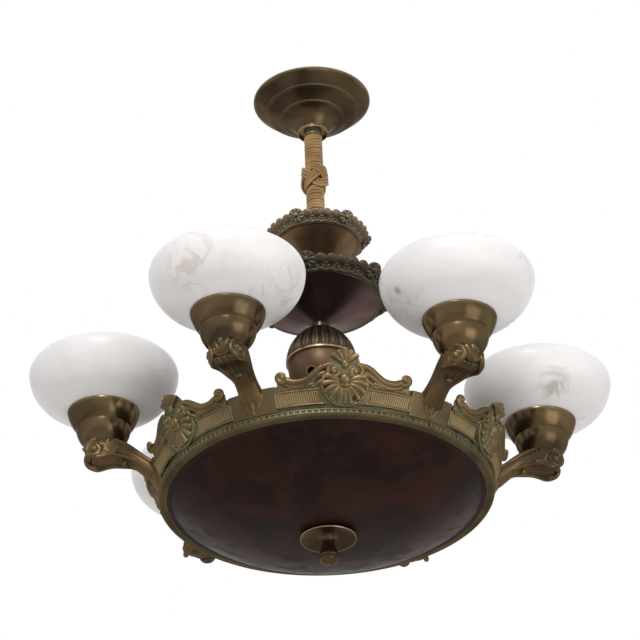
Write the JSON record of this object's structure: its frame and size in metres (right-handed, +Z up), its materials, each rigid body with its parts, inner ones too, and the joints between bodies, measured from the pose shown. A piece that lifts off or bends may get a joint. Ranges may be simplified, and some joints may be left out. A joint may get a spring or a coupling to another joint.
{
  "type": "pendant light",
  "caption": "Hanging light with a dark metal pan, a cast scallop gallery, arms that carry alabaster bowl shades, and a cord-wound stem.",
  "frame": {"origin": "centre of the hanging eye's bore, inside the canopy", "axes": "+Z up towards the ceiling, +X along the hanging eye's bore and towards one of the arms"},
  "size_m": [0.79, 0.711, 0.7513],
  "materials": {
    "pan_patina": "mottled dark oxblood lacquer, satin",
    "finial_brass": "dark bronzed brass, satin",
    "zinc_steel": "dull zinc",
    "hub_bronze": "brown bronze, satin",
    "bell_bronze": "dark bronze with rubbed ridges",
    "dish_bronze": "very dark bronze, satin",
    "crown_bronze": "cast bronze with green patina in its hollows",
    "tube_brass": "dull brass",
    "stem_cord": "tan twisted cord, worn",
    "ferrule_brass": "tarnished brass",
    "black_steel": "blackened steel",
    "canopy_bronze": "spun brass, dark olive-brown bronzing, satin",
    "spring_brass": "dull spring brass",
    "gallery_brass": "cast brass, brown with green patina and rubbed high spots",
    "crest_brass": "cast brass, brown with green patina and rubbed high spots",
    "arm_brass": "cast brass, brown with rubbed high spots",
    "cup_bronze": "spun brass, olive-brown bronzing, satin",
    "porcelain": "white glaze",
    "nut_brass": "plain turned brass",
    "alabaster": "polished white alabaster with faint grey and tan veins",
    "opal_glass": "opal white glass with a metal cap"
  },
  "bodies": {
    "fixture": {"pan": "pan_patina", "rosette_washer": "finial_brass", "centre_rod": "zinc_steel", "hub_body": "hub_bronze", "fluted_bell": "bell_bronze", "lower_dish": "dish_bronze", "lower_crown": "crown_bronze", "upper_dish": "dish_bronze", "upper_crown": "crown_bronze", "stem_tube": "tube_brass", "stem_cord": "stem_cord", "stem_knot": "stem_cord", "stem_ferrule": "ferrule_brass", "hanging_eye": "black_steel", "gallery_ring": "gallery_brass", "arm_screws": "zinc_steel", "shade_nuts": "nut_brass", "crest_1": "crest_brass", "arm_1": "arm_brass", "cup_1": "cup_bronze", "lampholder_1": "porcelain", "shade_1": "alabaster", "crest_2": "crest_brass", "arm_2": "arm_brass", "cup_2": "cup_bronze", "lampholder_2": "porcelain", "shade_2": "alabaster", "crest_3": "crest_brass", "arm_3": "arm_brass", "cup_3": "cup_bronze", "lampholder_3": "porcelain", "shade_3": "alabaster", "crest_4": "crest_brass", "arm_4": "arm_brass", "cup_4": "cup_bronze", "lampholder_4": "porcelain", "shade_4": "alabaster", "crest_5": "crest_brass", "arm_5": "arm_brass", "cup_5": "cup_bronze", "lampholder_5": "porcelain", "shade_5": "alabaster", "crest_6": "crest_brass", "arm_6": "arm_brass", "cup_6": "cup_bronze", "lampholder_6": "porcelain", "shade_6": "alabaster"},
    "canopy": {"canopy": "canopy_bronze", "canopy_collar": "spring_brass"},
    "finial": {"finial": "finial_brass"},
    "bulb_1": {"bulb_1": "opal_glass"},
    "bulb_2": {"bulb_2": "opal_glass"},
    "bulb_3": {"bulb_3": "opal_glass"},
    "bulb_4": {"bulb_4": "opal_glass"},
    "bulb_5": {"bulb_5": "opal_glass"},
    "bulb_6": {"bulb_6": "opal_glass"}
  },
  "joints": [
    {"name": "canopy_slide", "type": "slide", "parent": "fixture", "child": "canopy", "axis": [0, 0, 1], "range_m": [-0.045, 0]},
    {"name": "finial_turn", "type": "hinge", "parent": "fixture", "child": "finial", "pos_m": [0, 0, -0.703], "axis": [0, 0, 1], "continuous": true},
    {"name": "bulb_1_turn", "type": "hinge", "parent": "fixture", "child": "bulb_1", "pos_m": [0.295, 0, -0.4932], "axis": [0, 0, 1], "continuous": true},
    {"name": "bulb_2_turn", "type": "hinge", "parent": "fixture", "child": "bulb_2", "pos_m": [0.1475, 0.25548, -0.4932], "axis": [0, 0, 1], "continuous": true},
    {"name": "bulb_3_turn", "type": "hinge", "parent": "fixture", "child": "bulb_3", "pos_m": [-0.1475, 0.25548, -0.4932], "axis": [0, 0, 1], "continuous": true},
    {"name": "bulb_4_turn", "type": "hinge", "parent": "fixture", "child": "bulb_4", "pos_m": [-0.295, 0, -0.4932], "axis": [0, 0, 1], "continuous": true},
    {"name": "bulb_5_turn", "type": "hinge", "parent": "fixture", "child": "bulb_5", "pos_m": [-0.1475, -0.25548, -0.4932], "axis": [0, 0, 1], "continuous": true},
    {"name": "bulb_6_turn", "type": "hinge", "parent": "fixture", "child": "bulb_6", "pos_m": [0.1475, -0.25548, -0.4932], "axis": [0, 0, 1], "continuous": true}
  ]
}
